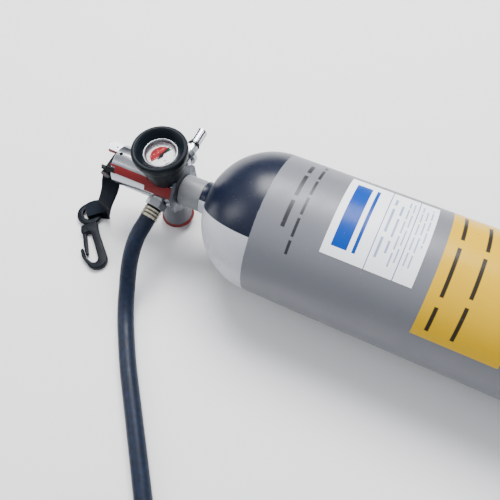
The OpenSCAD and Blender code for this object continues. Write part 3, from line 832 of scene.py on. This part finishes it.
# From there on in the hook's outline: over the eye, through it, back below and up outside it
STRAP_ROUND = [(-4.6, 19, -42, -24, 16), (-8, 15.6, -47.2, -36, 16), (-10.4, 10, -49.6, -43, 16),
               (-10.8, 4.6, -50.2, -45, 15.6), (-10.2, 1.6, -50.8, -43, 13.6),
               (-9.2, 0.7, -52.8, -42.8, 10.8), (-8.7, 1.4, -55.3, -42.8, 10.4),
               (-8.5, 5.6, -57.1, -42.8, 10.6), (-8.5, 9, -57.3, -42.8, 12),
               (-7.4, 13, -57.3, -42.8, 13.5), (-5.6, 16.8, -56.8, -42.8, 15), (-4, 19, -54.6, -42.8, 16),
               (-3, 19.4, -51.4, -42, 16), (-1.8, 19, -46.6, -32, 16)]
# The webbing's outline, in shares of its width and of its thickness
BAND_OUTLINE = [(-0.5, 0), (-0.485, 0.38), (-0.45, 0.5), (-0.25, 0.46), (0, 0.45), (0.25, 0.46),
                (0.45, 0.5), (0.485, 0.38), (0.5, 0), (0.485, -0.38), (0.45, -0.5), (0.25, -0.46),
                (0, -0.45), (-0.25, -0.46), (-0.45, -0.5), (-0.485, -0.38)]


def flat_direction(degrees):
    return Vector((math.cos(math.radians(degrees)), math.sin(math.radians(degrees)), 0))


def in_hook(u, v, z):
    """A point given in the hook's own outline, in millimetres from the valve's axis."""
    c, s = math.cos(HOOK_TURN), math.sin(HOOK_TURN)
    return (HOOK_AT[0] + u * c - v * s, HOOK_AT[1] + u * s + v * c, z)


def round_pin():
    """Stations round the pin."""
    return [(PIN_X + PIN_LOOP_R * math.cos(math.radians(a)), PIN_LOOP_Y,
             PIN_Z + PIN_LOOP_R * math.sin(math.radians(a)), 90, STRAP_WIDTH) for a in PIN_LOOP_TURNS]


def strap_stations():
    """Closed run of stations round the pin, down one ply, round the eye and up the other ply."""
    spots = [Vector(p[:3]) for p in STRAP_DOWN] + [Vector(in_hook(*STRAP_ROUND[0][:3]))]
    near, far = [], []
    for i, (x, y, z, turn, width) in enumerate(STRAP_DOWN):
        run = spots[i + 1] - spots[max(i - 1, 0)]
        out = run.cross(flat_direction(turn)).normalized() * PLY_OFFSET
        near.append((x + out.x, y + out.y, z + out.z, turn, width))
        far.append((x - out.x, y - out.y, z - out.z, turn, width))
    middle = [in_hook(*p[:3]) + p[3:] for p in STRAP_ROUND]
    return round_pin() + near + middle + far[::-1]


def map_band(mesh, run, span):
    """UVs in millimetres along and across the band. run is the distance to each row, span all round."""
    uv = mesh.uv_layers.new(name="along")
    sides = len(BAND_OUTLINE)
    for poly in mesh.polygons:
        rows = [mesh.loops[c].vertex_index // sides for c in poly.loop_indices]
        wrap = max(rows) - min(rows) > 2
        for c in poly.loop_indices:
            row, k = divmod(mesh.loops[c].vertex_index, sides)
            u = span if wrap and row == 0 else run[row]
            uv.data[c].uv = (u / MM, BAND_OUTLINE[k][0] * STRAP_WIDTH)


def band_mesh(name, line, sides, widths, thick):
    """A flat woven band with rounded edges along a closed line."""
    count, n = len(line), len(BAND_OUTLINE)
    verts, faces, run = [], [], [0.0]
    for i, p in enumerate(line):
        if i:
            run.append(run[-1] + (p - line[i - 1]).length)
        tangent = (line[(i + 1) % count] - line[i - 1]).normalized()
        normal = tangent.cross(sides[i]).normalized()
        for across, up in BAND_OUTLINE:
            verts.append(p + sides[i] * (across * widths[i] * MM) + normal * (up * thick * MM))
    for i in range(count):
        j = (i + 1) % count
        for k in range(n):
            m = (k + 1) % n
            faces.append((i * n + k, j * n + k, j * n + m, i * n + m))
    mesh = bpy.data.meshes.new(name)
    mesh.from_pydata([tuple(v) for v in verts], [], faces)
    map_band(mesh, run, run[-1] + (line[0] - line[-1]).length)
    point_outwards(mesh)
    return mesh


def make_strap():
    """One closed length of webbing: round the pin, down, through the hook's eye and back up."""
    rows = smooth_rows(strap_stations(), 1.2, closed=True)
    line = [at(*row[:3]) for row in rows]
    sides = [flat_direction(row[3]) for row in rows]
    mesh = band_mesh("lanyard", line, sides, [row[4] for row in rows], PLY)
    obj = link("lanyard_webbing", mesh, "release_fork", ("lanyard_strap",), smooth_deg=60)
    dress(obj, "webbing")
    return obj


strap = make_strap()


# ---------- gauge face ----------
DIAL_TOP = 38.2
# Angles on the face are in degrees from +X. The print reads upright when it is turned by FACE_TURN.
FACE_TURN = 60
SCALE_START, SCALE_STEP = 243, 18
RED_END, GREEN_END = 83, 62
# Inner radius and half width of the long and the short ticks
LONG_TICK, SHORT_TICK = (9.5, 0.22), (9.9, 0.12)
TICK_END = 10.5
NUMBERS = (("0", 232), ("50", 196), ("100", 160), ("150", 124), ("200", 72))
NUMBER_R, NUMBER_SIZE = 6.6, 2.0
# Radius and half length of the plain bars that stand for the small print
BARS = ((5.6, 0.8), (8.9, 2.0))
BAR_HALF_HEIGHT = 0.35


def printed(name, outline, material, thick):
    """A thin printed patch on the dial, from its outline in millimetres from the valve's axis."""
    count = len(outline)
    verts = [at(x, y, DIAL_TOP) for x, y in outline] + [at(x, y, DIAL_TOP + thick) for x, y in outline]
    faces = [tuple(reversed(range(count))), tuple(range(count, 2 * count))]
    faces += [(k, (k + 1) % count, count + (k + 1) % count, count + k) for k in range(count)]
    dress(link(name, mesh_of(name, verts, faces), "air_set"), material)


def sector(radius, start, end):
    return [(0, 0)] + arc(0, 0, radius, radius, start, end, 40)


def radial_bar(low_r, high_r, half, degrees):
    """Outline of a bar that runs outwards at an angle."""
    c, s = math.cos(math.radians(degrees)), math.sin(math.radians(degrees))
    corners = ((low_r, -half), (high_r, -half), (high_r, half), (low_r, half))
    return [(x * c - y * s, x * s + y * c) for x, y in corners]


def number(word, degrees):
    """A number of the scale, read upright."""
    name = "dial_number_" + word
    data = bpy.data.curves.new(name, "FONT")
    data.body = word
    data.size = NUMBER_SIZE * MM
    data.align_x = "CENTER"
    data.align_y = "CENTER"
    data.extrude = 0.03 * MM
    mesh = mesh_from_curve(name, data)
    a = math.radians(degrees)
    place = at(NUMBER_R * math.cos(a), NUMBER_R * math.sin(a), DIAL_TOP + 0.08)
    mesh.transform(Matrix.Translation(place) @ Matrix.Rotation(math.radians(FACE_TURN), 4, "Z"))
    dress(link(name, mesh, "air_set"), "dial_ink")


def make_dial():
    """The print on the dial: two coloured sectors, ticks, numbers and two plain bars."""
    printed("dial_red_part", sector(9.1, RED_END, SCALE_START), "dial_red", 0.06)
    printed("dial_green_part", sector(9.3, GREEN_END, RED_END), "dial_green", 0.06)
    for k in range(13):
        low_r, half = SHORT_TICK if k % 2 else LONG_TICK
        tick = radial_bar(low_r, TICK_END, half, SCALE_START - k * SCALE_STEP)
        printed("dial_tick_%02d" % k, tick, "dial_ink", 0.05)
    for word, degrees in NUMBERS:
        number(word, degrees)
    for k, (r, half) in enumerate(BARS):
        bar = radial_bar(r - BAR_HALF_HEIGHT, r + BAR_HALF_HEIGHT, half, FACE_TURN - 90)
        printed("dial_bar_%d" % k, bar, "dial_ink", 0.05)


make_dial()


# ---------- stage ----------
def make_floor():
    """A wide pale floor, a hair below the lowest pieces."""
    size, z = 3.0, FLOOR_Z * MM - 0.0002
    corners = [(-size, -size, z), (size, -size, z), (size, size, z), (-size, size, z)]
    mesh = mesh_of("floor", corners, [(0, 1, 2, 3)])
    floor = bpy.data.objects.new("floor", mesh)
    bpy.context.scene.collection.objects.link(floor)
    paper = Shader("floor", 0.9)
    paper.colour((0.86, 0.86, 0.87, 1))
    mesh.materials.append(paper.mat)


def area_light(name, place, target, size, power):
    """A rectangular lamp that faces its target. Places and sizes are in metres, power in watts."""
    data = bpy.data.lights.new(name, "AREA")
    data.shape = "RECTANGLE"
    data.size, data.size_y = size
    data.energy = power
    light = bpy.data.objects.new(name, data)
    light.location = place
    light.rotation_mode = "QUATERNION"
    light.rotation_quaternion = (Vector(target) - Vector(place)).to_track_quat("-Z", "Y")
    bpy.context.scene.collection.objects.link(light)


def make_sky():
    """A cool studio sky that is dim near the floor and bright overhead."""
    world = bpy.data.worlds.new("studio")
    bpy.context.scene.world = world
    world.use_nodes = True
    tree = world.node_tree
    sky = tree.nodes["Background"]
    coord = tree.nodes.new("ShaderNodeTexCoord")
    parts = tree.nodes.new("ShaderNodeSeparateXYZ")
    rise = tree.nodes.new("ShaderNodeMapRange")
    for key, value in (("From Min", 0.05), ("From Max", 0.75), ("To Min", 0.12), ("To Max", 0.95)):
        rise.inputs[key].default_value = value
    tree.links.new(coord.outputs["Generated"], parts.inputs[0])
    tree.links.new(parts.outputs[2], rise.inputs["Value"])
    tree.links.new(rise.outputs[0], sky.inputs["Strength"])
    sky.inputs["Color"].default_value = (0.93, 0.96, 1, 1)


make_floor()
make_sky()
area_light("key", (-0.35, 0.75, 1.3), (-0.05, 0, 0), (1.1, 0.7), 58)
area_light("fill", (-1.3, -0.5, 0.8), (-0.1, -0.05, 0), (0.5, 0.9), 6)
